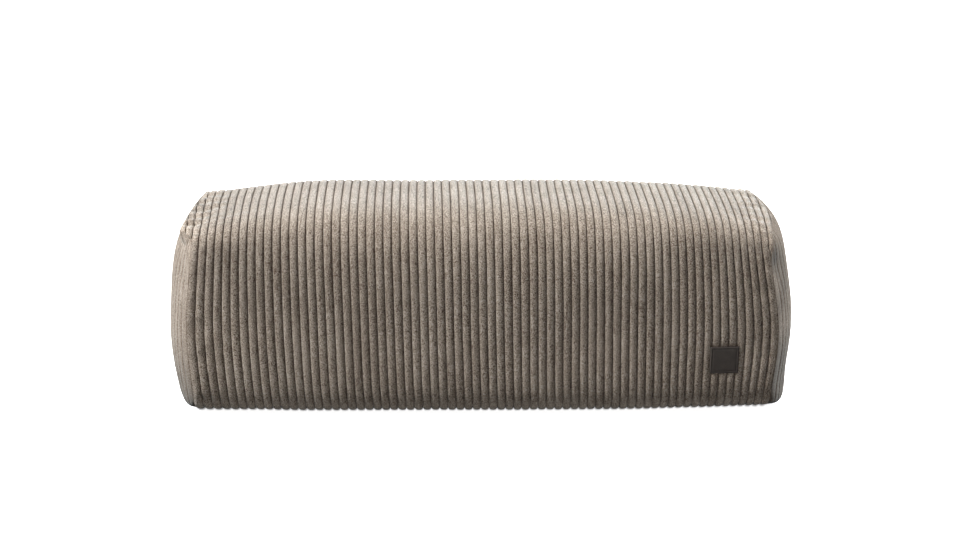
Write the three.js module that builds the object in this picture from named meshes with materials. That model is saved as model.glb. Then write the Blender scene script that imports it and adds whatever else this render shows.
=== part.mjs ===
// Lounge cushion: a long block-shaped cushion in wide-wale corduroy, standing on its base.
// One wrap panel runs round the front, top, back and base, and closes on a panel at each end.
// Millimetres, +Z up, the front faces -Y, the origin lies on the floor under the middle.
import * as THREE from "three";

// The filled shape: the middle cross-section and the one at each end seam
const MIDDLE = { halfDepth: 134, top: 305, upperPower: 3.7, lowerPower: 5.3 };
const SEAM = { halfDepth: 124, top: 279, upperPower: 5.2, lowerPower: 5 };
const WIDEST_Z = 142; // height of the widest line of every cross-section
const FLOOR_SINK = 2.4; // how far the filling is pressed flat by the floor
const CROWN_POWER = 2.5; // the crown stays full along the middle and drops late towards the seams
const FULL_SIDE = { rise: 5, centre: -0.6, width: 0.22 }; // the crown is fuller on the left

// The end seams: half the length from one to the other, and how each one's line leaves its plane
const SEAM_X = 418;
const BELLY = { left: 0.7, right: 4.5 }; // out at the belly
const FRONT_DRAW = { left: 11.8, right: 19 }; // in from the belly at the upper front corner
const BACK_DRAW = { left: 5, right: 14.6 }; // in from the belly over the back of the top
const FOOT_DRAW = { left: 3.5, right: 5 }; // in from the belly at the floor
const DRAW_POWER = 4.5; // how late towards the seams the ribs begin to follow that line

// The end panels
const END_BULGE = { left: 34.2, right: 32.6 }; // how far an end panel swells past its seam
const END_ACROSS = 2.3; // how full that swelling is from front to back
const END_UP = { left: 4.6, right: 8.7 }; // and upwards
const END_DOWN = { left: 24, right: 24 }; // and downwards
const END_SAG = { left: 0.13, right: 0.05 }; // how much flatter it is at the top, as a share
const END_LOAD = { left: 0.33, right: 0.09 }; // how much fuller it grows downwards
const END_TAPER = { left: 0.49, right: 0.08 }; // how much of that it loses again at the foot
const END_SLACK = 1.8; // how much less the filling swells than the panel over it

// The corduroy: ribs as wide as their pitch, with a narrow groove between two of them
const WRAP_WALES = 70;
const END_WALES = 19;
const RIB_DEPTH = 2.8;
const CREST_SHARE = 0.64; // the flat crest's share of a rib's width
const RIB_DRIFT = 6.8; // how far the middle ribs sit to the right of an even spread
const RIB_SKEW = 2.2; // how much more they do so left of the middle
const RIB_LEAN = 3.7; // how far a rib wanders to each side on its way round
const LEAN_CENTRE = -82; // where a leaning rib crosses its mean line, from the front's mid height
const LEAN_FADE = 8; // the lean dies out this late towards the seams, so that ribs follow them
const END_RIB_FADE = 8; // an end panel's ribs flatten this late towards their seam

// The mesh: steps up the front and the end panels, and steps back over the top
const FRONT_STEPS = 7;
const TOP_STEPS = 6;
const STEP_CROWDING = 0.8; // 0 spreads the steps evenly, 1 crowds them most at the corners

// Pieces laid on the filled body
const GAP = 0.3;
const END_CLOTH = 3;
const LABEL = { width: 41, height: 41, thickness: 2, x: 346, z: 92, steps: 4 };

const CLOTH_COLOUR = 0x9a8c7f;
const LEATHER_COLOUR = 0x3b322c;

const mix = (from, to, share) => from + (to - from) * share;

// A share that eases from 0 at the low value to 1 at the high one
function eased(low, high, value) {
  const share = THREE.MathUtils.clamp((value - low) / (high - low), 0, 1);
  return share * share * (3 - 2 * share);
}

// A cross-section's sizes at a place along the length, -1 at the left seam and 1 at the right one
function sectionAt(along) {
  const share = Math.abs(along) ** CROWN_POWER;
  const section = {};
  for (const key of Object.keys(MIDDLE)) section[key] = mix(MIDDLE[key], SEAM[key], share);
  const off = (along - FULL_SIDE.centre) / FULL_SIDE.width;
  section.top += FULL_SIDE.rise * Math.exp(-off * off);
  return section;
}

// Bends a point of a square, p back and q up from -1 to 1, onto the rounded cross-section.
// The inset lowers it below the skin, and the floor flattens what would hang under it.
function depthAndHeight(p, q, along, inset) {
  const section = sectionAt(along);
  const power = q < 0 ? section.lowerPower : section.upperPower;
  const halfHeight = q < 0 ? WIDEST_Z + FLOOR_SINK : section.top - WIDEST_Z;
  const rounding = (1 + Math.abs(p * q) ** power) ** (-1 / power);
  const y = (section.halfDepth - inset) * p * rounding;
  const z = WIDEST_Z + (halfHeight - inset) * q * rounding;
  return { y, z: Math.max(z, inset) };
}

// How far outside its plane a seam's line runs at a point of the square
function seamShift(p, q, side) {
  const end = side > 0 ? "right" : "left";
  const overTop = mix(BACK_DRAW[end], FRONT_DRAW[end], eased(-0.3, 0.8, -p));
  const drawn = overTop * eased(-0.15, 1, q) + FOOT_DRAW[end] * eased(-0.2, -0.75, q);
  return BELLY[end] - drawn;
}

// How far a rib has wandered sideways where it crosses this point of the girth
function ribLean(p, q) {
  const height = MIDDLE.top;
  const depth = 2 * MIDDLE.halfDepth;
  let walked = height / 2 + depth + ((q + 1) * height) / 2;
  if (p === -1) walked = (-q * height) / 2;
  else if (q === -1) walked = height / 2 + ((p + 1) * depth) / 2;
  else if (q === 1) walked = -height / 2 - ((p + 1) * depth) / 2;
  const turn = (Math.PI * (walked - LEAN_CENTRE)) / (height + depth);
  return RIB_LEAN * (Math.sin(turn) - Math.sin(3 * turn) / 9);
}

// A point of the wrap panel, along from -1 at the left seam to 1 at the right one
function wrapPoint(along, p, q, inset) {
  const fade = 1 - Math.abs(along) ** LEAN_FADE;
  const drift = (RIB_DRIFT - RIB_SKEW * along) * (1 - along ** 2);
  const shifted = along + (drift + ribLean(p, q) * fade) / SEAM_X;
  const { y, z } = depthAndHeight(p, q, shifted, inset);
  const side = Math.sign(along);
  const shift = side * seamShift(p, q, side) * Math.abs(along) ** DRAW_POWER;
  return new THREE.Vector3(shifted * (SEAM_X - END_CLOTH - GAP) + shift, y, z);
}

// A point of an end's swelling, raised by the lift above the seam's own cross-section
function endPoint(side, p, q, lift) {
  const { y, z } = depthAndHeight(p, q, 1, RIB_DEPTH);
  const end = side > 0 ? "right" : "left";
  const power = q < 0 ? END_DOWN[end] : END_UP[end];
  const lean = 1 - (q < 0 ? END_LOAD[end] : END_SAG[end]) * q;
  const foot = 1 - END_TAPER[end] * Math.max(-q, 0) ** 3;
  const fullness = (1 - Math.abs(p) ** END_ACROSS) * (1 - Math.abs(q) ** power);
  const swell = END_BULGE[end] * lean * foot * fullness;
  const out = SEAM_X - END_CLOTH - GAP + seamShift(p, q, side) + swell + lift;
  return new THREE.Vector3(side * out, y, z);
}

// Places from -1 to 1 in equal steps of an angle, so that they crowd towards both ends
function crowdedSteps(count) {
  const widest = (Math.PI / 2) * STEP_CROWDING;
  const places = [];
  for (let step = 0; step <= count; step += 1) {
    const turn = mix(-widest, widest, step / count);
    places.push(Math.sin(turn) / Math.sin(widest));
  }
  places[0] = -1;
  places[count] = 1;
  return places;
}

// Grooves and crests across a ribbed cloth, as places from -1 to 1 with a share of the rib's depth
function ribColumns(wales) {
  const columns = [];
  for (let wale = 0; wale < wales; wale += 1) {
    columns.push({ at: (2 * wale) / wales - 1, sunk: 1 });
    for (const side of [-1, 1]) {
      const crest = wale + 0.5 + (side * CREST_SHARE) / 2;
      columns.push({ at: (2 * crest) / wales - 1, sunk: 0 });
    }
  }
  columns.push({ at: 1, sunk: 1 });
  return columns;
}

// The girth as points of the square: up the front, back over the top, down the back, home below
function girthPoints() {
  const heights = crowdedSteps(FRONT_STEPS);
  const depths = crowdedSteps(TOP_STEPS);
  const points = [];
  for (const q of heights.slice(0, -1)) points.push({ p: -1, q });
  for (const p of depths.slice(0, -1)) points.push({ p, q: 1 });
  for (const q of heights.slice(1).reverse()) points.push({ p: 1, q });
  for (const p of depths.slice(1).reverse()) points.push({ p, q: -1 });
  return points;
}

// The rim of a grid of point numbers, once round and back to its first point
function border(rows) {
  const between = rows.slice(1, -1);
  const far = between.map((row) => row.at(-1));
  const near = between.map((row) => row[0]).reverse();
  return [...rows[0], ...far, ...rows.at(-1).toReversed(), ...near, rows[0][0]];
}

// Collects points and faces, and shares the points that two faces meet at
class Skin {
  constructor() {
    this.positions = [];
    this.faces = [];
  }

  point(vector) {
    this.positions.push(vector.x, vector.y, vector.z);
    return this.positions.length / 3 - 1;
  }

  quad(a, b, c, d) {
    this.faces.push(a, b, c, a, c, d);
  }

  // Joins rows of point numbers, turned over where the rows run the other way round
  grid(rows, turned) {
    for (let row = 0; row + 1 < rows.length; row += 1) {
      for (let column = 0; column + 1 < rows[row].length; column += 1) {
        const a = rows[row][column];
        const b = rows[row][column + 1];
        const c = rows[row + 1][column + 1];
        const d = rows[row + 1][column];
        if (turned) this.quad(a, d, c, b);
        else this.quad(a, b, c, d);
      }
    }
  }

  // Closes a cloth's outer and inner faces, two grids of one size, into a thin sheet
  sheet(outer, inner, turned) {
    this.grid(outer, turned);
    this.grid(inner, !turned);
    this.grid([border(inner), border(outer)], turned);
  }

  geometry() {
    const geometry = new THREE.BufferGeometry();
    geometry.setAttribute("position", new THREE.Float32BufferAttribute(this.positions, 3));
    geometry.setIndex(this.faces);
    geometry.computeVertexNormals();
    return geometry;
  }
}

// The body's swollen end: inner points of its own, and a rim shared with the ribbed girth
function addBodyEnd(skin, side, rimPoint) {
  const isRim = (p, q) => Math.abs(p) === 1 || Math.abs(q) === 1;
  const rows = crowdedSteps(FRONT_STEPS).map((q) =>
    crowdedSteps(TOP_STEPS).map((p) =>
      isRim(p, q) ? rimPoint(p, q) : skin.point(endPoint(side, p, q, -END_SLACK)),
    ),
  );
  skin.grid(rows, side < 0);
}

// The filled solid: ribbed round its girth, smooth and swollen under the end panels
function cushionBody() {
  const skin = new Skin();
  const girth = girthPoints();
  const columns = ribColumns(WRAP_WALES);
  const rows = girth.map(({ p, q }) =>
    columns.map(({ at, sunk }) => skin.point(wrapPoint(at, p, q, sunk * RIB_DEPTH))),
  );
  skin.grid([...rows, rows[0]], false);
  const rowAt = (p, q) => rows[girth.findIndex((point) => point.p === p && point.q === q)];
  addBodyEnd(skin, -1, (p, q) => rowAt(p, q)[0]);
  addBodyEnd(skin, 1, (p, q) => rowAt(p, q).at(-1));
  return skin.geometry();
}

// One end panel: a cloth sheet with upright ribs, laid over the body's swollen end
function endPanel(side) {
  const skin = new Skin();
  const face = (lift, relief) =>
    crowdedSteps(FRONT_STEPS).map((q) =>
      ribColumns(END_WALES).map(({ at, sunk }) => {
        const flattened = Math.max(Math.abs(at), Math.abs(q)) ** END_RIB_FADE;
        const raised = relief * (1 - sunk) * (1 - flattened);
        return skin.point(endPoint(side, at, q, lift + raised));
      }),
    );
  skin.sheet(face(GAP + END_CLOTH, RIB_DEPTH), face(GAP, 0), side < 0);
  return skin.geometry();
}

// The front's face at a place below its widest line
function lowerFrontY(x, z) {
  const { halfDepth, lowerPower } = sectionAt(x / SEAM_X);
  const drop = (WIDEST_Z - z) / (WIDEST_Z + FLOOR_SINK);
  return -halfDepth * (1 - drop ** lowerPower) ** (1 / lowerPower);
}

// The bare leather patch, bowed with the front that it is sewn to
function labelPatch() {
  const skin = new Skin();
  const places = Array.from({ length: LABEL.steps + 1 }, (_, step) => step / LABEL.steps - 0.5);
  const face = (lift) =>
    places.map((up) =>
      places.map((across) => {
        const x = LABEL.x + LABEL.width * across;
        const z = LABEL.z + LABEL.height * up;
        return skin.point(new THREE.Vector3(x, lowerFrontY(x, z) - lift, z));
      }),
    );
  skin.sheet(face(GAP + LABEL.thickness), face(GAP), false);
  return skin.geometry();
}

function piece(name, geometry, colour, roughness) {
  const material = new THREE.MeshStandardMaterial({ color: colour, roughness, metalness: 0 });
  const mesh = new THREE.Mesh(geometry, material);
  mesh.name = name;
  return mesh;
}

const group = new THREE.Group();
group.add(piece("cushion_body", cushionBody(), CLOTH_COLOUR, 0.95));
group.add(piece("end_panel_left", endPanel(-1), CLOTH_COLOUR, 0.95));
group.add(piece("end_panel_right", endPanel(1), CLOTH_COLOUR, 0.95));
group.add(piece("label_patch", labelPatch(), LEATHER_COLOUR, 0.6));

export default group;
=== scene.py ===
"""Lounge cushion in wide-wale corduroy: its skins, seams, pile, leather patch and studio light."""
import math

import bpy
import numpy as np
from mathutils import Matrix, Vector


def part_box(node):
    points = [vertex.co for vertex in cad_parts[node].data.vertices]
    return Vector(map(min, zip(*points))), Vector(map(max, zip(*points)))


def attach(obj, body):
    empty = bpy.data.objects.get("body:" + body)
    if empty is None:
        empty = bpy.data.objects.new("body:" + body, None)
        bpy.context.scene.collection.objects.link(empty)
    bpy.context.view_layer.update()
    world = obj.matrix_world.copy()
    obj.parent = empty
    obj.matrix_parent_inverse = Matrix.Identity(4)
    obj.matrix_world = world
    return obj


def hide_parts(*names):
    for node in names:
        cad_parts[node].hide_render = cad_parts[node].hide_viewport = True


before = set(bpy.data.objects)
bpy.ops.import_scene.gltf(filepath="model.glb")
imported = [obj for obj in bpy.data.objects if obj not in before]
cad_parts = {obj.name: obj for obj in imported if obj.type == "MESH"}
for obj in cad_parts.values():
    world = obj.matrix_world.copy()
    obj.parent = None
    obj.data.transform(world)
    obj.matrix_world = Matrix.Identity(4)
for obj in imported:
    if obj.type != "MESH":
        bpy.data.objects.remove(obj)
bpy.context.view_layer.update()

BODY_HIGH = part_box("cushion_body")[1]
LABEL_LOW, LABEL_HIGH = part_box("label_patch")

# The filled shape: the middle cross-section and the one at each end seam, in metres
SEAM_NARROWER = 0.010
SEAM_LOWER = 0.026
MIDDLE = {"half_depth": BODY_HIGH.y, "top": BODY_HIGH.z, "upper_power": 3.7, "lower_power": 5.3}
SEAM = {
    "half_depth": BODY_HIGH.y - SEAM_NARROWER,
    "top": BODY_HIGH.z - SEAM_LOWER,
    "upper_power": 5.2,
    "lower_power": 5.0,
}
WIDEST_Z = 0.142
FLOOR_SINK = 0.0024
CROWN_POWER = 2.5
FULL_SIDE = {"rise": 0.005, "centre": -0.6, "width": 0.22}  # the crown is fuller left of its middle

# How far the outer ribs stand out at the belly, and are drawn in over the top and at the foot
SEAM_X = 0.418
BELLY = {"left": 0.0007, "right": 0.0045}
FRONT_DRAW = {"left": 0.0118, "right": 0.0190}
BACK_DRAW = {"left": 0.0050, "right": 0.0146}
FOOT_DRAW = {"left": 0.0035, "right": 0.0050}
DRAW_POWER = 4.5

# Where each draw begins and is whole, as places p back and q up from -1 to 1
DRAW_FORWARD = (0.3, -0.8)
DRAW_UP = (-0.15, 1)
DRAW_DOWN = (-0.2, -0.75)

# The ears: cloth over the top beyond the outer rib, cut off by the end seam at the front corner
EARS = {
    "left": {"width": 0.0190, "starts": 0.52, "full": -0.64, "gone": -0.86, "left_over": 0.0},
    "right": {"width": 0.0125, "starts": 0.57, "full": -0.27, "gone": -0.90, "left_over": 0.5},
}
EAR_WALES = 2
EAR_PITCH = 0.0095
EAR_OPENS = {"wrap": (0.86, 0.97), "panel": (0.6, 1.0)}  # the heights q between which it opens

# The swell of the end panels beyond their seams
END_BULGE = {"left": 0.0342, "right": 0.0326}
END_ACROSS = 2.3
END_UP = {"left": 4.6, "right": 8.7}
END_DOWN = {"left": 50.0, "right": 60.0}
END_SAG = {"left": 0.13, "right": 0.05}  # how much flatter the swell is at the top, as a share
END_LOAD = {"left": 0.33, "right": 0.09}  # how much fuller it grows downwards
END_TAPER = {"left": 0.49, "right": 0.08}  # how much of that it loses again at the foot
END_TAPER_POWER = 3
END_LUMPS = {"height": 0.0012, "size": 0.09}
END_LIFT = 0.001  # how far the panels' edges stay above the surface
END_DENT = {"left": 0.002, "right": 0.0045}
END_DENT_PLACE = {"p": -0.80, "p_reach": 0.16, "q": 0.62, "q_reach": 0.20}

# The corduroy's ribs
WRAP_WALES = 70
END_WALES = 19
RIB_DEPTH = 0.0032
END_RIB_DEPTH = 0.0018
SEAM_SINK = 0.55
RIB_DRIFT = 0.0068
RIB_SKEW = 0.0022
RIB_LEAN = 0.0037
LEAN_CENTRE = -0.082
LEAN_FADE = 8
RIB_NODES = (0.0, 0.035, 0.1, 0.24, 0.5, 0.76, 0.9, 0.965)  # where a rib's width is sampled
RIB_BODY = 0.955  # the share of its pitch that a rib fills, and the groove leaves
RIB_ROUNDNESS = 3.3
RIB_UNEVEN = {"share": 0.07, "stretch": [3, 1, 1], "size": 0.05}
RIB_WANDER = {"width": 0.0005, "stretch": [1, 0.5, 0.5], "size": 0.045}
END_EDGE = {"ribs": 16, "lumps": 6}  # how sharply ribs and lumps end at the end panels' edges

# The filling's broad lumps under the wrap: each one's height, size and seed
FILLING_LUMPS = ((0.0011, 0.16, 1), (0.0005, 0.06, 2))

# The simulated cloth: its columns near the seams, its extra length there, and how it is held
SIM_FRAMES = 20
SIM_NEAR = 0.10
SIM_NEAR_COLUMNS = 26
SIM_FAR_COLUMNS = 14
SIM_SLACK = {"left": 0.04, "right": 0.02}
SIM_SLACK_REACH = 0.03
SIM_SLACK_OFF_TOP = 0.5  # how much of the slack the cloth has below the top
SIM_HOLD = 0.5
SIM_HOLD_REACH = 0.07
SIM_PRESSURE = 0.3
SIM_UNEVEN = {"height": 0.0006, "stretch": [0.25, 1, 1], "size": 0.011, "reach": 0.06}
SIM_CAP = 0.004
SIM_SHARE = 0.5  # how much of the simulated lift is kept, since the pile is thick

# Gathers placed beside the end seams, with ways measured round the girth from mid front
GATHER_HEIGHT = {"left": 0.0019, "right": 0.0009}
GATHER_DRIFT = {"stretch": [1, 0.6, 0.6], "size": 0.03}
TOP_GATHERS = {"period": 0.030, "drift": 2.2, "reach": 0.040}
TOP_GATHERS_FRONT = (-0.175, -0.205)
TOP_GATHERS_BACK = (-0.44, -0.36)
FOLD = {"way": -0.212, "slant": 0.25, "width": 0.014, "reach": 0.085, "period": 0.026, "share": 0.8}
LOW_GATHERS = {"height": 0.0006, "period": 0.031, "drift": 3, "reach": 0.022}
SEAM_CLOSED = 0.007  # the gathers grow from nothing at the seam over this width
SEAM_EDGE = 0.003  # the ribs are pressed flat over this width beside the seam

# How the leather patch presses into the wrap
PATCH_FLATTENS = 0.75
PATCH_MARGIN = 0.002
PATCH_SINK = 0.0012
PATCH_SINK_MARGIN = 0.012

# How much lighter or darker the wrap is painted in places: the pile's random tone, painted light and
# shade, and darker shoulders
# A painted light strip beside the seams, where the groove colour is lifted, stronger at the left
SEAM_PAINTED_LIGHT = {"left": 0.8, "right": 0.5}
# Painted flecks of light and shade over the top beside the seams, standing in for lit and shaded
# puckers
TOP_PAINTED_FLECKS = {"share": 0.22, "size": 0.008, "from_q": 0.6, "reach": 0.035}
PILE_CLOUDS = {"share": 0.05, "size": 0.05}
# A painted highlight at the left seam's upper front corner
LEFT_CORNER_LIGHT = {"share": 0.3, "reach": 0.022, "way": -0.21, "width": 0.04}
SHOULDER_SHADES = (
    {"share": 0.3, "x": -0.355, "length": 0.06, "way": -0.124, "width": 0.042},
    {"share": 0.22, "x": 0.35, "length": 0.08, "way": -0.132, "width": 0.036},
)
# Painted bounce light from the floor, lighter at the front's foot
FOOT_LIGHT = {"share": 0.8, "from_q": -0.77, "front_of_p": 0.5}

# The end panels' colour: finer in its grain, painted shade towards the foot and in the right panel's
# dent, and darker at the right panel's upper front
END_GRAIN = 0.65
# How light the grooves are painted, partly for their thinner pile and partly as painted shade, lighter
# towards the edges
END_GROOVE = 0.4
END_GROOVE_AT_EDGE = {"left": 0.8, "right": 0.55}
END_EDGE_STARTS = 0.9
# Painted shade towards the foot of each end panel
LEFT_FOOT_SHADE = {"share": 0.46, "from_q": 0, "to_q": -1}
RIGHT_FOOT_SHADE = {"share": 0.34, "from_q": 0.1, "to_q": -0.4}
RIGHT_FRONT_DARKER = {"share": 0.48, "from_p": -0.2, "to_p": -0.7, "q": 0.52, "q_reach": 0.46}
RIGHT_FRONT_DARKER_LUMPS = {"least": 0.7, "share": 0.6, "size": 0.022}
# Painted shade in the right panel's dent
DENT_SHADE = {"share": 0.66, "p": -0.86, "p_reach": 0.2, "q": 0.72, "q_reach": 0.14}

# Steps of the fine meshes, and how much of a half circle their crowding takes
FRONT_STEPS = 46
TOP_STEPS = 80
BACK_STEPS = 24
BASE_STEPS = 14
END_ROWS = 90
LABEL_STEPS = 60
CROWDING = {"upright": 0.7, "top": 0.5, "hidden": 0.8}
CLOTH = 0.003
CAP_RINGS = (0.93, 0.8, 0.55, 0.3)  # sizes of the rings that close the wrap behind an end panel

# The leather patch's thickness outside and inside the wrap's skin, its round edge and its border
LABEL_OUT = 0.0008
LABEL_IN = 0.0012
LABEL_ROUND = {"depth": 0.0009, "from": 0.93}
LABEL_BORDER = {"depth": 0.0004, "place": 0.84, "width": 0.035}

# The corduroy's noises: scale, detail and stretch
CORDUROY_NOISES = {
    "speckle": (950, 1, (1, 0.5, 0.8)),
    "fibre": (2600, 1, (1, 0.4, 0.7)),
    "streak": (420, 2, (1, 0.1, 0.12)),
    "broad": (14, 3, (1.3, 0.8, 0.5)),
    "patches": (55, 2, (1, 0.6, 0.4)),
}
GRAIN_WEIGHTS = {"speckle": 2.4, "fibre": 1.6}
CLOUD_WEIGHTS = {"streak": 0.45, "broad": 0.36, "patches": 0.26}
# How light crests and grooves are painted: the dark grooves are partly thinner pile and partly painted
# shade
CREST_LIGHT = 0.42
GROOVE_LIGHT = 0.12
CORDUROY_COLOURS = [
    (0.0, (0.038, 0.0245, 0.0155)),
    (0.3, (0.134, 0.0995, 0.0735)),
    (0.54, (0.244, 0.1985, 0.158)),
    (0.9, (0.402, 0.359, 0.308)),
]

# The leather's noises: scale and detail
LEATHER_NOISES = {"grain": (1400, 4), "cloud": (120, 3)}
LEATHER_WEIGHTS = {"grain": 0.7, "cloud": 0.5}
LEATHER_LIGHT = 0.46
RAISED_LIGHT = 0.14
LEATHER_COLOURS = [(0.0, (0.008, 0.006, 0.005)), (1.0, (0.062, 0.049, 0.041))]

# The photograph's camera
FOCAL_MM = 70.0
SENSOR_MM = 36.0
CAMERA_PLACE = (-0.0350, -2.5715, 1.143)
CAMERA_DIP = 20.6
CAMERA_TURN = -0.76
CLIP_NEAR = 0.05
CLIP_FAR = 60

# The studio: its soft lights, its sky from below to above the horizon, and its floor
TOP_MIDDLE = (0, 0.1, 0.3)
LIGHTS = {
    "left_key": {"place": (-5.06, -1.36, 3.82), "aim": (0, 0, 0.15), "size": (1.1, 1.1), "watts": 740},
    "left_back": {"place": (-2.6, 2.6, 2.8), "aim": TOP_MIDDLE, "size": (2.0, 1.6), "watts": 128},
    "right_back": {"place": (3.4, 1.2, 2.6), "aim": (0.15, 0.1, 0.3), "size": (1.6, 1.6), "watts": 228},
    "back": {"place": (0.5, 4.2, 1.6), "aim": TOP_MIDDLE, "size": (4.0, 1.2), "watts": 100},
    "right_fill": {"place": (2.3, 0.3, 0.6), "aim": (0.3, 0, 0.15), "size": (1.2, 1.2), "watts": 12},
    "low_front": {"place": (0, -2.4, 0.05), "aim": (0, 0, 0.1), "size": (3.0, 0.4), "watts": 22},
}
SKY_GREYS = [(0.42, (0.07, 0.07, 0.07)), (0.6, (0.42, 0.42, 0.42))]
SKY_STRENGTH = 0.52
FLOOR_REACH = 14.0
FLOOR_Z = -0.0002
FLOOR_GLOW = 0.93
CONTACT_SHADE = {"reach": 0.003, "power": 1.6}


def mix(start, end, share):
    return start + (end - start) * share


def smoothstep(low, high, value):
    share = np.clip((value - low) / (high - low), 0, 1)
    return share * share * (3 - 2 * share)


def bump(value, centre, width):
    return np.exp(-((value - centre) / width) ** 2)


def lumps(points, size, seed):
    """Smooth noise from -1 to 1 in space, with lumps of about the given size."""
    cells = 32
    offset = 7.3
    table = np.random.default_rng(seed).uniform(-1, 1, (cells, cells, cells))
    cell = np.asarray(points) / size + offset
    low = np.floor(cell).astype(int)
    share = cell - low
    share = share * share * (3 - 2 * share)
    total = 0
    for corner in np.ndindex(2, 2, 2):
        weight = np.prod([share[..., k] if corner[k] else 1 - share[..., k] for k in range(3)], axis=0)
        place = tuple((low[..., k] + corner[k]) % cells for k in range(3))
        total = total + weight * table[place]
    return total


# The smooth skin under the ribs

def section_at(along):
    """The cross-section at a place along the length, from -1 at the left seam to 1 at the right."""
    share = np.abs(along) ** CROWN_POWER
    section = {key: mix(MIDDLE[key], SEAM[key], share) for key in MIDDLE}
    fuller = bump(along, FULL_SIDE["centre"], FULL_SIDE["width"])
    section["top"] = section["top"] + FULL_SIDE["rise"] * fuller
    return section


def depth_and_height(p, q, along, inset=0.0):
    """A point of a square, p back and q up from -1 to 1, bent onto the rounded cross-section."""
    section = section_at(along)
    power = np.where(q < 0, section["lower_power"], section["upper_power"])
    half_height = np.where(q < 0, WIDEST_Z + FLOOR_SINK, section["top"] - WIDEST_Z)
    rounding = (1 + np.abs(p * q) ** power) ** (-1 / power)
    y = (section["half_depth"] - inset) * p * rounding
    return y, WIDEST_Z + (half_height - inset) * q * rounding


def rib_shift(p, q, end):
    """How far the outermost rib lies outside its even place: out at the belly, in over the top."""
    over_top = mix(BACK_DRAW[end], FRONT_DRAW[end], smoothstep(*DRAW_FORWARD, p))
    drawn = over_top * smoothstep(*DRAW_UP, q) + FOOT_DRAW[end] * smoothstep(*DRAW_DOWN, q)
    return BELLY[end] - drawn


def ear_width(p, q, end, piece):
    """The width of the ear: it widens from the back to the front corner, where the seam cuts it off."""
    ear = EARS[end]
    grown = np.clip((ear["starts"] - p) / (ear["starts"] - ear["full"]), 0, 1)
    kept = mix(ear["left_over"], 1, np.clip((p - ear["gone"]) / (ear["full"] - ear["gone"]), 0, 1))
    return ear["width"] * grown * kept * smoothstep(*EAR_OPENS[piece], q)


def walked(p, q):
    """The way round the girth from the front's mid height, downwards positive, and the whole girth."""
    height = MIDDLE["top"]
    depth = 2 * MIDDLE["half_depth"]
    way = height / 2 + depth + (q + 1) * height / 2
    way = np.where(q == -1, height / 2 + (p + 1) * depth / 2, way)
    way = np.where(q == 1, -height / 2 - (p + 1) * depth / 2, way)
    way = np.where(p == -1, -q * height / 2, way)
    return way, 2 * (height + depth)


def rib_lean(p, q):
    """How far the ribs lean sideways, in a softened zigzag once round the girth."""
    way, girth = walked(p, q)
    turn = 2 * math.pi * (way - LEAN_CENTRE) / girth
    return RIB_LEAN * (np.sin(turn) - np.sin(3 * turn) / 9)


def wrap_points(along, p, q):
    """The wrap's smooth skin, how far each point lies from its end seam, and which lie past it."""
    inner = np.clip(along, -1, 1)
    fade = 1 - np.abs(inner) ** LEAN_FADE
    drift = (RIB_DRIFT - RIB_SKEW * inner) * (1 - inner ** 2)
    shifted = inner + (drift + rib_lean(p, q) * fade) / SEAM_X
    y, z = depth_and_height(p, q, shifted)
    side = np.sign(along)
    shift = np.where(along < 0, rib_shift(p, q, "left"), rib_shift(p, q, "right"))
    ear = np.where(along < 0, ear_width(p, q, "left", "wrap"), ear_width(p, q, "right", "wrap"))
    beyond = np.maximum(np.abs(along) - 1, 0) * WRAP_WALES / 2 * EAR_PITCH
    x = shifted * SEAM_X + side * (shift * np.abs(inner) ** DRAW_POWER + np.minimum(beyond, ear))
    from_seam = SEAM_X + shift + ear - np.abs(x)
    return np.stack(np.broadcast_arrays(x, y, z), -1), np.maximum(from_seam, 0), beyond >= ear


def end_points(end, side, p, q):
    """An end panel's smooth skin, which swells beyond its seam."""
    y, z = depth_and_height(p, q, np.ones_like(p), SEAM_SINK * RIB_DEPTH)
    power = np.where(q < 0, END_DOWN[end], END_UP[end])
    fullness = (1 - np.abs(p) ** END_ACROSS) * (1 - np.abs(q) ** power)
    lean = 1 - np.where(q < 0, END_LOAD[end], END_SAG[end]) * q
    foot = 1 - END_TAPER[end] * np.maximum(-q, 0) ** END_TAPER_POWER
    swell = END_BULGE[end] * lean * foot * fullness
    out = np.maximum(swell, ear_width(p, q, end, "panel"))
    return np.stack([side * (SEAM_X + rib_shift(p, q, end) + out), y, z], -1)


# Grids

def crowded_steps(count, crowding):
    """Places from -1 to 1 that crowd towards both ends."""
    widest = math.pi / 2 * crowding
    places = np.sin(np.linspace(-widest, widest, count + 1)) / math.sin(widest)
    places[0], places[-1] = -1, 1
    return places


def girth_points():
    """The girth as points of the square: up the front, over the top, down the back, home below."""
    up = crowded_steps(FRONT_STEPS, CROWDING["upright"])
    over = crowded_steps(TOP_STEPS, CROWDING["top"])
    down = crowded_steps(BACK_STEPS, CROWDING["hidden"])[::-1]
    home = crowded_steps(BASE_STEPS, CROWDING["hidden"])[::-1]
    p = np.concatenate([np.full(FRONT_STEPS, -1.0), over[:-1], np.ones(BACK_STEPS), home[:-1]])
    q = np.concatenate([up[:-1], np.ones(TOP_STEPS), down[:-1], np.full(BASE_STEPS, -1.0)])
    return p, q


def rib_columns(wales, extra=0):
    """Places across the ribs, -1 to 1 without the extra ones, and each one's share of its rib."""
    count = wales + 2 * extra
    shares = np.tile(RIB_NODES, count)
    places = np.repeat(np.arange(count), len(RIB_NODES)) + shares
    return (np.append(places, count) - extra) * 2 / wales - 1, np.append(shares, 0.0)


def rib_height(share):
    """A round rib with a narrow groove on each side, from 0 in the groove to 1."""
    off = np.abs(2 * share - 1)
    return np.sqrt(1 - np.minimum(off / RIB_BODY, 1) ** RIB_ROUNDNESS)


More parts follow.
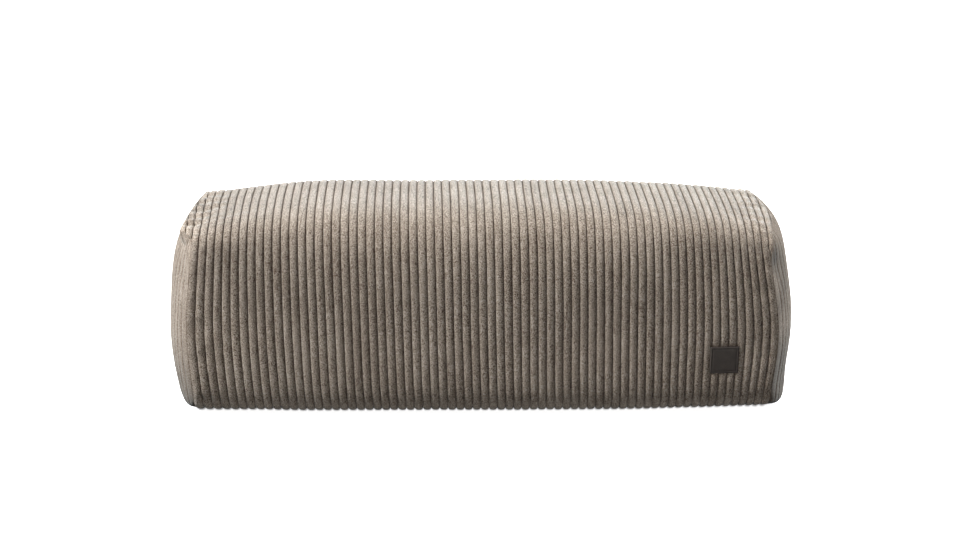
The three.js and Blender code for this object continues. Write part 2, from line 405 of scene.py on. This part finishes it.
def grid_normals(points, closed):
    """Outward normals of a grid whose rows run round the girth and columns along the length."""
    if closed:
        rows = np.concatenate([points[-1:], points, points[:1]])
        round_way = rows[2:] - rows[:-2]
    else:
        round_way = np.gradient(points, axis=0)
    normals = np.cross(np.gradient(points, axis=1), round_way)
    return normals / np.linalg.norm(normals, axis=-1, keepdims=True)


def grid_faces(rows, columns, closed, start=0):
    """Quads of a grid of point numbers, the last row joined to the first where it is closed."""
    row = np.arange(rows if closed else rows - 1)[:, None]
    column = np.arange(columns - 1)[None]
    below = (row + 1) % rows
    quads = [row * columns + column, row * columns + column + 1]
    quads += [below * columns + column + 1, below * columns + column]
    return np.stack(quads, -1).reshape(-1, 4) + start


def mesh_object(name, points, faces, values=None):
    """A smooth-shaded mesh with one number at each point for each named value."""
    mesh = bpy.data.meshes.new(name)
    mesh.from_pydata(points.tolist(), [], [list(face) for face in faces])
    mesh.shade_smooth()
    for key, numbers in (values or {}).items():
        attribute = mesh.attributes.new(key, "FLOAT", "POINT")
        attribute.data.foreach_set("value", np.asarray(numbers, np.float32))
    piece = bpy.data.objects.new(name, mesh)
    bpy.context.scene.collection.objects.link(piece)
    return piece


# The simulated cloth of the wrap

def simulation_grid(p, q):
    """The wrap's smooth skin from seam to seam, and how far each point lies from its seam."""
    reach = 1 + 2 * EAR_WALES / WRAP_WALES
    seams = wrap_points(np.array([[-reach, reach]]), p[:, None], q[:, None])[0][..., 0]
    near = np.linspace(0, SIM_NEAR, SIM_NEAR_COLUMNS)[:-1]
    left = np.concatenate([near, np.linspace(SIM_NEAR, SEAM_X, SIM_FAR_COLUMNS)])
    shares = np.concatenate([left, 2 * SEAM_X - left[-2::-1]]) / (2 * SEAM_X)
    x = mix(seams[:, :1], seams[:, 1:], shares[None])
    y, z = depth_and_height(p[:, None], q[:, None], np.clip(x / SEAM_X, -1, 1))
    from_seam = np.minimum(shares, 1 - shares) * 2 * SEAM_X * np.ones((len(p), 1))
    return np.stack([x, y, np.maximum(z, 0)], -1), from_seam


def simulated_lift(p, q, x_fine):
    """How far the sewn cloth is lifted by its slack and the filling, at each place of the fine grid."""
    skin, from_seam = simulation_grid(p, q)
    normals = grid_normals(skin, True)
    on_base = (q == -1)[:, None]
    near_seam = np.sin(math.pi * np.minimum(from_seam / SIM_UNEVEN["reach"], 1))
    unevenness = lumps(skin * SIM_UNEVEN["stretch"], SIM_UNEVEN["size"], 8)
    uneven = SIM_UNEVEN["height"] * unevenness * near_seam
    start = skin + normals * np.where(on_base, 0, uneven)[..., None]
    held = SIM_HOLD * (1 - np.exp(-(from_seam / SIM_HOLD_REACH) ** 2))
    held = np.where((from_seam == 0) | on_base, 1, held)
    slack = np.where(skin[..., 0] < 0, SIM_SLACK["left"], SIM_SLACK["right"])
    slack = slack * np.where(q == 1, 1, SIM_SLACK_OFF_TOP)[:, None]
    slack = slack * np.exp(-(from_seam / SIM_SLACK_REACH) ** 2)
    moved = settled_cloth(start, held, slack)
    lift = np.clip(((moved - skin) * normals).sum(-1), -SIM_CAP, SIM_CAP)
    return np.stack([np.interp(*row) for row in zip(x_fine, skin[..., 0], lift)])


def settled_cloth(start, held, slack):
    """Runs Blender's cloth on a grid closed round the girth, and gives its points once it rests."""
    rows, columns = start.shape[:2]
    sheet = mesh_object("simulated_wrap", start.reshape(-1, 3), grid_faces(rows, columns, True))
    for key, weights in (("held", held), ("fitted", 1 - slack / slack.max())):
        group = sheet.vertex_groups.new(name=key)
        for number, weight in enumerate(weights.ravel().tolist()):
            group.add([number], weight, "REPLACE")
    modifier = sheet.modifiers.new("filling", "CLOTH")
    settings = modifier.settings
    settings.quality = 5
    settings.mass = 0.3
    settings.air_damping = 2.0
    settings.tension_stiffness = 40.0
    settings.compression_stiffness = 40.0
    settings.shear_stiffness = 20.0
    settings.bending_stiffness = 0.1
    settings.tension_damping = 5.0
    settings.compression_damping = 5.0
    settings.shear_damping = 5.0
    settings.bending_damping = 0.5
    settings.vertex_group_mass = "held"
    settings.pin_stiffness = 1.0
    settings.use_pressure = True
    settings.uniform_pressure_force = SIM_PRESSURE
    settings.effector_weights.gravity = 0.0
    settings.vertex_group_shrink = "fitted"
    settings.shrink_max = 0.0
    settings.shrink_min = -slack.max()
    modifier.collision_settings.use_collision = False
    modifier.point_cache.frame_start = 1
    modifier.point_cache.frame_end = SIM_FRAMES
    for step in range(1, SIM_FRAMES + 1):
        bpy.context.scene.frame_set(step)
    settled = sheet.evaluated_get(bpy.context.evaluated_depsgraph_get())
    moved = np.zeros(rows * columns * 3)
    settled.data.vertices.foreach_get("co", moved)
    bpy.data.objects.remove(sheet)
    bpy.context.scene.frame_set(1)
    return moved.reshape(rows, columns, 3)


# The cushion's wrap

def seam_gathers(skin, way, from_seam):
    """Small gathers across the ribs where the wrap is sewn to the end panels, in metres."""
    height = np.where(skin[..., 0] < 0, GATHER_HEIGHT["left"], GATHER_HEIGHT["right"])
    drift = lumps(skin * GATHER_DRIFT["stretch"], GATHER_DRIFT["size"], 5)
    over_top = smoothstep(*TOP_GATHERS_FRONT, way) * smoothstep(*TOP_GATHERS_BACK, way)
    ripple = np.sin(2 * math.pi * way / TOP_GATHERS["period"] + TOP_GATHERS["drift"] * drift)
    total = height * ripple * over_top * np.exp(-(from_seam / TOP_GATHERS["reach"]) ** 2)
    past_fold = way - FOLD["way"] + FOLD["slant"] * from_seam
    fold_line = bump(past_fold, 0, FOLD["width"]) * np.exp(-(from_seam / FOLD["reach"]) ** 2)
    total += FOLD["share"] * height * np.sin(2 * math.pi * past_fold / FOLD["period"]) * fold_line
    low_ripple = np.sin(2 * math.pi * way / LOW_GATHERS["period"] + LOW_GATHERS["drift"] * drift)
    low_fade = np.exp(-(from_seam / LOW_GATHERS["reach"]) ** 2)
    total += LOW_GATHERS["height"] * low_ripple * (1 - over_top) * low_fade
    return total * smoothstep(0, SEAM_CLOSED, from_seam)


def label_mask(points, margin):
    """One under the leather patch, falling to nothing a little outside it."""
    x_off = np.abs(points[..., 0] - (LABEL_LOW.x + LABEL_HIGH.x) / 2) - (LABEL_HIGH.x - LABEL_LOW.x) / 2
    z_off = np.abs(points[..., 2] - (LABEL_LOW.z + LABEL_HIGH.z) / 2) - (LABEL_HIGH.z - LABEL_LOW.z) / 2
    off = np.maximum(x_off, z_off)
    return np.where(points[..., 1] < 0, 1 - smoothstep(-margin, margin, off), 0)


def wrap_normals(skin, ear_columns):
    """The skin's normals, with those of the outer ribs carried out over the ears."""
    normals = grid_normals(skin[:, ear_columns:-ear_columns], True)
    return np.pad(normals, ((0, 0), (ear_columns, ear_columns), (0, 0)), "edge")


def wrap_tone_and_painted_light(p, q, way, skin, from_seam):
    """How light the wrap is painted: random pile tone, painted light and shade flecks at the ears, a
    painted highlight at the left corner, darker at the shoulders and painted bounce light below.
    """
    x = skin[..., 0]
    near_seam = np.exp(-(from_seam / TOP_PAINTED_FLECKS["reach"]) ** 2)
    over_top = smoothstep(TOP_PAINTED_FLECKS["from_q"], 1, q)[:, None] * near_seam
    on_left = (x < 0) * np.exp(-(from_seam / LEFT_CORNER_LIGHT["reach"]) ** 2)
    # Painted light and shade flecks standing in for the lit and shaded puckers
    painted_flecks = TOP_PAINTED_FLECKS["share"] * over_top * lumps(skin, TOP_PAINTED_FLECKS["size"], 9)
    pile = 1 + painted_flecks + PILE_CLOUDS["share"] * lumps(skin, PILE_CLOUDS["size"], 10)
    # Painted highlight at the left seam's upper front corner
    at_corner = bump(way, LEFT_CORNER_LIGHT["way"], LEFT_CORNER_LIGHT["width"])
    pile += LEFT_CORNER_LIGHT["share"] * on_left * at_corner
    for shade in SHOULDER_SHADES:
        across = bump(x, shade["x"], shade["length"])
        pile -= shade["share"] * across * bump(way, shade["way"], shade["width"])
    # Painted bounce light from the floor at the front's foot
    at_foot = smoothstep(FOOT_LIGHT["from_q"], -1, q) * (p < FOOT_LIGHT["front_of_p"])
    pile += FOOT_LIGHT["share"] * at_foot[:, None]
    return pile


def wrap_piece():
    """The wrap: ribs on the smooth skin, lumps of filling, gathers at the seams and closed ends."""
    p, q = girth_points()
    along, share = rib_columns(WRAP_WALES, EAR_WALES)
    way = walked(p, q)[0][:, None]
    skin, from_seam, cut_off = wrap_points(along[None], p[:, None], q[:, None])
    ear_columns = EAR_WALES * len(RIB_NODES)
    normals = wrap_normals(skin, ear_columns)
    broad = sum(height * lumps(skin, size, seed) for height, size, seed in FILLING_LUMPS)
    unevenness = lumps(skin * RIB_UNEVEN["stretch"], RIB_UNEVEN["size"], 3)
    rounded = rib_height(share)[None] * (1 + RIB_UNEVEN["share"] * unevenness)
    patch = label_mask(skin, PATCH_MARGIN)
    beside_seam = smoothstep(SEAM_EDGE, 0, from_seam)
    relief = mix(rounded * (1 - PATCH_FLATTENS * patch), 1 - SEAM_SINK, beside_seam)
    sink = PATCH_SINK * label_mask(skin, PATCH_SINK_MARGIN)
    gathers = seam_gathers(skin, way, from_seam) + SIM_SHARE * simulated_lift(p, q, skin[..., 0])
    lift = (relief - 1) * RIB_DEPTH + broad + gathers * (1 - patch) - sink
    points = skin + normals * lift[..., None]
    wander = lumps(skin * RIB_WANDER["stretch"], RIB_WANDER["size"], 4)
    points[..., 0] += RIB_WANDER["width"] * wander
    points[..., 2] = np.maximum(points[..., 2], (1 - relief) * RIB_DEPTH)
    number, used = joined_numbers(cut_off, ear_columns)
    faces = joined_faces(number)
    flat = points.reshape(-1, 3)[used]
    # Beside the seams the rib value is raised: a painted light strip
    seam_painted_light = np.where(skin[..., 0] < 0, SEAM_PAINTED_LIGHT["left"], SEAM_PAINTED_LIGHT["right"]) * beside_seam
    values = {
        "rib": np.maximum(relief, seam_painted_light).ravel()[used],
        # The pile value carries painted light and shade as well as the pile's random tone
        "pile": wrap_tone_and_painted_light(p, q, way, skin, from_seam).ravel()[used],
        "grain": np.ones(len(used)),
    }
    for side, column in ((-1, 0), (1, -1)):
        flat, faces, values = add_cap(flat, faces, values, number[:, column], side)
    return mesh_object("cushion_wrap", flat, faces, values)


def joined_numbers(cut_off, ear_columns):
    """Point numbers of the wrap's grid, where the ear columns past the seam share one point."""
    rows, columns = cut_off.shape
    number = np.arange(rows * columns).reshape(rows, columns)
    for step in range(ear_columns, 0, -1):
        for column, inner in ((step - 1, step), (columns - step, columns - step - 1)):
            number[:, column] = np.where(cut_off[:, inner], number[:, inner], number[:, column])
    used, number = np.unique(number, return_inverse=True)
    return number.reshape(rows, columns), used


def joined_faces(number):
    """The wrap's quads, with those that have lost corners turned into triangles or left out."""
    rows, columns = number.shape
    faces = []
    for quad in number.ravel()[grid_faces(rows, columns, True)].tolist():
        corners = list(dict.fromkeys(quad))
        if len(corners) > 2:
            faces.append(corners)
    return faces


def add_cap(points, faces, values, rim, side):
    """Closes one end of the wrap with rings that shrink towards a swollen middle."""
    ring = points[rim]
    middle = np.array([0, 0, WIDEST_Z])
    behind = side * 2 * CLOTH
    tip = middle + [side * (SEAM_X + END_BULGE["left"] - 4 * CLOTH), 0, 0]
    last = rim
    for share in CAP_RINGS:
        place = middle + (ring - middle) * share
        place[:, 0] = mix(ring[:, 0], tip[0], 1 - share ** 3) - behind
        new = np.arange(len(ring)) + len(points)
        points = np.concatenate([points, place])
        around = [last, np.roll(last, -1), np.roll(new, -1), new]
        quads = np.stack(around if side > 0 else around[::-1], -1)
        faces += quads.tolist()
        last = new
    centre = len(points)
    points = np.concatenate([points, [tip - [behind, 0, 0]]])
    fan = [last, np.roll(last, -1), np.full(len(last), centre)]
    faces += np.stack(fan if side > 0 else fan[::-1], -1).tolist()
    added = len(points) - len(values["rib"])
    values = {key: np.concatenate([numbers, np.ones(added)]) for key, numbers in values.items()}
    return points, faces, values


# The end panels

def end_piece(name, end):
    """An end panel: a thin ribbed sheet over the swell of one end, dented at its upper front."""
    side = 1 if end == "right" else -1
    q = crowded_steps(END_ROWS, CROWDING["upright"])[:, None]
    along, share = rib_columns(END_WALES)
    p = along[None] * np.ones_like(q)
    q = q * np.ones_like(p)
    edge = np.maximum(np.abs(p), np.abs(q))
    relief = rib_height(share)[None] * (1 - edge ** END_EDGE["ribs"])
    skin = end_points(end, side, p, q)
    normals = grid_normals(skin, False) * side
    place = END_DENT_PLACE
    dent = END_DENT[end] * bump(p, place["p"], place["p_reach"]) * bump(q, place["q"], place["q_reach"])
    broad = END_LUMPS["height"] * lumps(skin, END_LUMPS["size"], 6 + side)
    broad = broad * (1 - edge ** END_EDGE["lumps"])
    outer = skin + normals * (relief * END_RIB_DEPTH + broad - dent)[..., None]
    inner = skin + normals * (broad - dent - CLOTH)[..., None]
    for face in (outer, inner):
        face[..., 2] = np.maximum(face[..., 2], END_LIFT)
    # The grooves' darkness is partly painted shade
    groove = mix(END_GROOVE, END_GROOVE_AT_EDGE[end], smoothstep(END_EDGE_STARTS, 1, edge))
    values = {
        "rib": mix(groove, 1, relief),
        # The pile value carries painted shade
        "pile": end_painted_shade_and_darkening(end, p, q, skin),
        "grain": np.full_like(p, END_GRAIN),
    }
    return sheet_piece(name, outer, inner, side < 0, values)


def end_painted_shade_and_darkening(end, p, q, skin):
    """How light an end panel is painted: painted shade towards the foot, and on the right, darker
    blotches at the upper front and painted shade in the dent.
    """
    shade = LEFT_FOOT_SHADE if end == "left" else RIGHT_FOOT_SHADE
    # Painted shade towards the foot
    foot = shade["share"] * smoothstep(shade["from_q"], shade["to_q"], q)
    if end == "left":
        return 1 - foot
    uneven = RIGHT_FRONT_DARKER_LUMPS["least"] + RIGHT_FRONT_DARKER_LUMPS["share"] * lumps(skin, RIGHT_FRONT_DARKER_LUMPS["size"], 11)
    forward = RIGHT_FRONT_DARKER["share"] * smoothstep(RIGHT_FRONT_DARKER["from_p"], RIGHT_FRONT_DARKER["to_p"], p)
    darker_front = forward * bump(q, RIGHT_FRONT_DARKER["q"], RIGHT_FRONT_DARKER["q_reach"]) * uneven
    # Painted shade in the dent
    across = DENT_SHADE["share"] * bump(p, DENT_SHADE["p"], DENT_SHADE["p_reach"])
    dent_painted_shade = across * bump(q, DENT_SHADE["q"], DENT_SHADE["q_reach"])
    return 1 - np.maximum(np.maximum(foot, darker_front), dent_painted_shade)


def sheet_piece(name, outer, inner, turned, values):
    """A closed thin sheet from its outer and inner grids, with the outer face's values."""
    rows, columns = outer.shape[:2]
    count = rows * columns
    number = np.arange(count).reshape(rows, columns)
    rim = np.concatenate([number[0], number[1:-1, -1], number[-1, ::-1], number[-2:0:-1, 0]])
    sides = np.stack([rim, rim + count, np.roll(rim + count, -1), np.roll(rim, -1)], -1)
    front = grid_faces(rows, columns, False)
    back = grid_faces(rows, columns, False, count)[:, ::-1]
    faces = np.concatenate([front, back, sides])
    if turned:
        faces = faces[:, ::-1]
    values = {key: np.concatenate([face.ravel(), np.ones(count)]) for key, face in values.items()}
    points = np.concatenate([outer.reshape(-1, 3), inner.reshape(-1, 3)])
    return mesh_object(name, points, faces, values)


# The leather patch

def label_piece():
    """The patch, bent to the wrap's front, with a rounded edge and a pressed border."""
    width = LABEL_HIGH.x - LABEL_LOW.x
    height = LABEL_HIGH.z - LABEL_LOW.z
    steps = np.linspace(-1, 1, LABEL_STEPS + 1)
    across, up = np.meshgrid(steps, steps)
    x = (LABEL_LOW.x + LABEL_HIGH.x) / 2 + across * width / 2
    z = (LABEL_LOW.z + LABEL_HIGH.z) / 2 + up * height / 2
    section = section_at(x / SEAM_X)
    drop = (WIDEST_Z - z) / (WIDEST_Z + FLOOR_SINK)
    y = -section["half_depth"] * (1 - drop ** section["lower_power"]) ** (1 / section["lower_power"])
    edge = np.maximum(np.abs(across), np.abs(up))
    turned = np.clip(1 - smoothstep(LABEL_ROUND["from"], 1.0, edge) ** 2, 0, 1)
    rounded = LABEL_ROUND["depth"] * (1 - np.sqrt(turned))
    pressed = bump(edge, LABEL_BORDER["place"], LABEL_BORDER["width"])
    outer = np.stack([x, y - LABEL_OUT + rounded + LABEL_BORDER["depth"] * pressed, z], -1)
    inner = np.stack([x, y + LABEL_IN, z], -1)
    return sheet_piece("leather_patch", outer, inner, False, {"raised": 1 - pressed})


# Materials

def new_material(name):
    material = bpy.data.materials.new(name)
    material.use_nodes = True
    tree = material.node_tree
    tree.nodes.clear()
    output = tree.nodes.new("ShaderNodeOutputMaterial")
    shader = tree.nodes.new("ShaderNodeBsdfPrincipled")
    tree.links.new(shader.outputs[0], output.inputs["Surface"])
    return material, tree, shader


def value_node(tree, name):
    node = tree.nodes.new("ShaderNodeAttribute")
    node.attribute_name = name
    return node.outputs["Fac"]


def noise(tree, scale, detail, stretch=(1, 1, 1)):
    place = tree.nodes.new("ShaderNodeTexCoord")
    mapping = tree.nodes.new("ShaderNodeMapping")
    mapping.inputs["Scale"].default_value = stretch
    node = tree.nodes.new("ShaderNodeTexNoise")
    node.inputs["Scale"].default_value = scale
    node.inputs["Detail"].default_value = detail
    node.inputs["Roughness"].default_value = 0.6
    tree.links.new(place.outputs["Object"], mapping.inputs["Vector"])
    tree.links.new(mapping.outputs[0], node.inputs["Vector"])
    return node.outputs["Fac"]


def math_node(tree, operation, first, second, third=None):
    node = tree.nodes.new("ShaderNodeMath")
    node.operation = operation
    for socket, value in zip(node.inputs, (first, second, third)):
        if value is None:
            continue
        if isinstance(value, (int, float)):
            socket.default_value = value
        else:
            tree.links.new(value, socket)
    return node.outputs[0]


def weighted(tree, sockets, weights):
    """The sum of each weighted socket's distance from one half, times its weight."""
    total = 0.0
    for name, weight in weights.items():
        centred = math_node(tree, "SUBTRACT", sockets[name], 0.5)
        total = math_node(tree, "MULTIPLY_ADD", centred, weight, total)
    return total


def ramp(tree, factor, stops):
    node = tree.nodes.new("ShaderNodeValToRGB")
    elements = node.color_ramp.elements
    while len(elements) < len(stops):
        elements.new(0.5)
    for element, (place, colour) in zip(elements, stops):
        element.position = place
        element.color = (*colour, 1)
    tree.links.new(factor, node.inputs[0])
    return node.outputs[0]


def add_relief(tree, shader, height, strength, distance):
    """Fine bumps of the surface, too small for the mesh."""
    node = tree.nodes.new("ShaderNodeBump")
    node.inputs["Strength"].default_value = strength
    node.inputs["Distance"].default_value = distance
    tree.links.new(height, node.inputs["Height"])
    tree.links.new(node.outputs[0], shader.inputs["Normal"])


def corduroy():
    """Brushed pile: mottled on the worn crests, dark in the grooves partly for their thinner pile and
    partly as painted shade.
    """
    material, tree, shader = new_material("corduroy")
    rib = value_node(tree, "rib")
    noises = {name: noise(tree, *settings) for name, settings in CORDUROY_NOISES.items()}
    mottle = weighted(tree, noises, GRAIN_WEIGHTS)
    fine = math_node(tree, "MULTIPLY", value_node(tree, "grain"), mottle)
    tone = math_node(tree, "ADD", fine, weighted(tree, noises, CLOUD_WEIGHTS))
    above_groove = math_node(tree, "POWER", rib, 0.5)
    worn = math_node(tree, "MULTIPLY", tone, above_groove)
    unlit = math_node(tree, "ADD", worn, GROOVE_LIGHT)
    lit = math_node(tree, "MULTIPLY_ADD", above_groove, CREST_LIGHT, unlit)
    # Times the pile value, which carries painted light and shade as well as the pile's tone
    pile_tone_and_painted_light = tree.nodes.new("ShaderNodeVectorMath")
    pile_tone_and_painted_light.operation = "SCALE"
    tree.links.new(ramp(tree, lit, CORDUROY_COLOURS), pile_tone_and_painted_light.inputs[0])
    tree.links.new(value_node(tree, "pile"), pile_tone_and_painted_light.inputs["Scale"])
    tree.links.new(pile_tone_and_painted_light.outputs[0], shader.inputs["Base Color"])
    shader.inputs["Roughness"].default_value = 0.95
    shader.inputs["Specular IOR Level"].default_value = 0.1
    shader.inputs["Sheen Weight"].default_value = 0.25
    shader.inputs["Sheen Roughness"].default_value = 0.45
    shader.inputs["Sheen Tint"].default_value = (0.73, 0.90, 0.98, 1)
    height = math_node(tree, "MULTIPLY_ADD", noises["fibre"], 0.5, noises["speckle"])
    add_relief(tree, shader, height, strength=0.5, distance=0.0006)
    return material


def leather():
    """Dark brown leather with a fine pebbled grain and a darker pressed border."""
    material, tree, shader = new_material("leather")
    noises = {name: noise(tree, *settings) for name, settings in LEATHER_NOISES.items()}
    tone = weighted(tree, noises, LEATHER_WEIGHTS)
    unlit = math_node(tree, "ADD", tone, LEATHER_LIGHT)
    lit = math_node(tree, "MULTIPLY_ADD", value_node(tree, "raised"), RAISED_LIGHT, unlit)
    tree.links.new(ramp(tree, lit, LEATHER_COLOURS), shader.inputs["Base Color"])
    shader.inputs["Roughness"].default_value = 0.6
    add_relief(tree, shader, noises["grain"], strength=0.35, distance=0.0003)
    return material


def floor_material():
    """White paper that glows like a lit backdrop, apart from a thin shade where something touches."""
    material, tree, shader = new_material("floor")
    shader.inputs["Base Color"].default_value = (0.9, 0.9, 0.9, 1)
    shader.inputs["Roughness"].default_value = 1.0
    shader.inputs["Specular IOR Level"].default_value = 0.0
    shader.inputs["Emission Color"].default_value = (1, 1, 1, 1)
    shaded = tree.nodes.new("ShaderNodeAmbientOcclusion")
    shaded.inputs["Distance"].default_value = CONTACT_SHADE["reach"]
    open_share = math_node(tree, "POWER", shaded.outputs["AO"], CONTACT_SHADE["power"])
    strength = math_node(tree, "MULTIPLY", open_share, FLOOR_GLOW)
    tree.links.new(strength, shader.inputs["Emission Strength"])
    return material


# Studio

def make_camera():
    camera = bpy.data.objects.new("camera", bpy.data.cameras.new("camera"))
    camera.data.lens = FOCAL_MM
    camera.data.sensor_width = SENSOR_MM
    camera.data.clip_start = CLIP_NEAR
    camera.data.clip_end = CLIP_FAR
    camera.location = CAMERA_PLACE
    camera.rotation_euler = (math.radians(90 - CAMERA_DIP), 0, math.radians(CAMERA_TURN))
    bpy.context.scene.collection.objects.link(camera)
    bpy.context.scene.camera = camera


def make_sky():
    """Soft light from all round, dim below the horizon."""
    world = bpy.data.worlds.new("studio")
    world.use_nodes = True
    tree = world.node_tree
    background = tree.nodes["Background"]
    place = tree.nodes.new("ShaderNodeTexCoord")
    split = tree.nodes.new("ShaderNodeSeparateXYZ")
    tree.links.new(place.outputs["Generated"], split.inputs[0])
    up = math_node(tree, "MULTIPLY_ADD", split.outputs["Z"], 0.5, 0.5)
    tree.links.new(ramp(tree, up, SKY_GREYS), background.inputs["Color"])
    background.inputs["Strength"].default_value = SKY_STRENGTH
    bpy.context.scene.world = world


def soft_light(name, place, aim, size, watts):
    """A rectangular light that faces the point it is aimed at."""
    data = bpy.data.lights.new(name, "AREA")
    data.shape = "RECTANGLE"
    data.size, data.size_y = size
    data.energy = watts
    light = bpy.data.objects.new(name, data)
    light.location = place
    direction = np.array(place) - np.array(aim)
    light.rotation_euler = (
        math.atan2(math.hypot(direction[0], direction[1]), direction[2]),
        0,
        math.atan2(direction[1], direction[0]) + math.pi / 2,
    )
    bpy.context.scene.collection.objects.link(light)


def make_floor():
    """A pale floor that throws no light back at the cushion."""
    signs = ((-1, -1), (1, -1), (1, 1), (-1, 1))
    corners = np.array([(x * FLOOR_REACH, y * FLOOR_REACH, FLOOR_Z) for x, y in signs])
    floor = mesh_object("floor", corners, [(0, 1, 2, 3)])
    floor.data.materials.append(floor_material())
    floor.visible_diffuse = False
    floor.visible_glossy = False


make_camera()
make_sky()
for light_name, light_settings in LIGHTS.items():
    soft_light(light_name, **light_settings)
make_floor()
bpy.context.scene.view_settings.view_transform = "Standard"

cloth = corduroy()
wrap = wrap_piece()
left_panel = end_piece("end_cloth_left", "left")
right_panel = end_piece("end_cloth_right", "right")
patch = label_piece()
for piece in (wrap, left_panel, right_panel):
    piece.data.materials.append(cloth)
patch.data.materials.append(leather())

for piece in (wrap, left_panel, right_panel, patch):
    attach(piece, "root")
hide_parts("cushion_body")
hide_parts("end_panel_left")
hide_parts("end_panel_right")
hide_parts("label_patch")
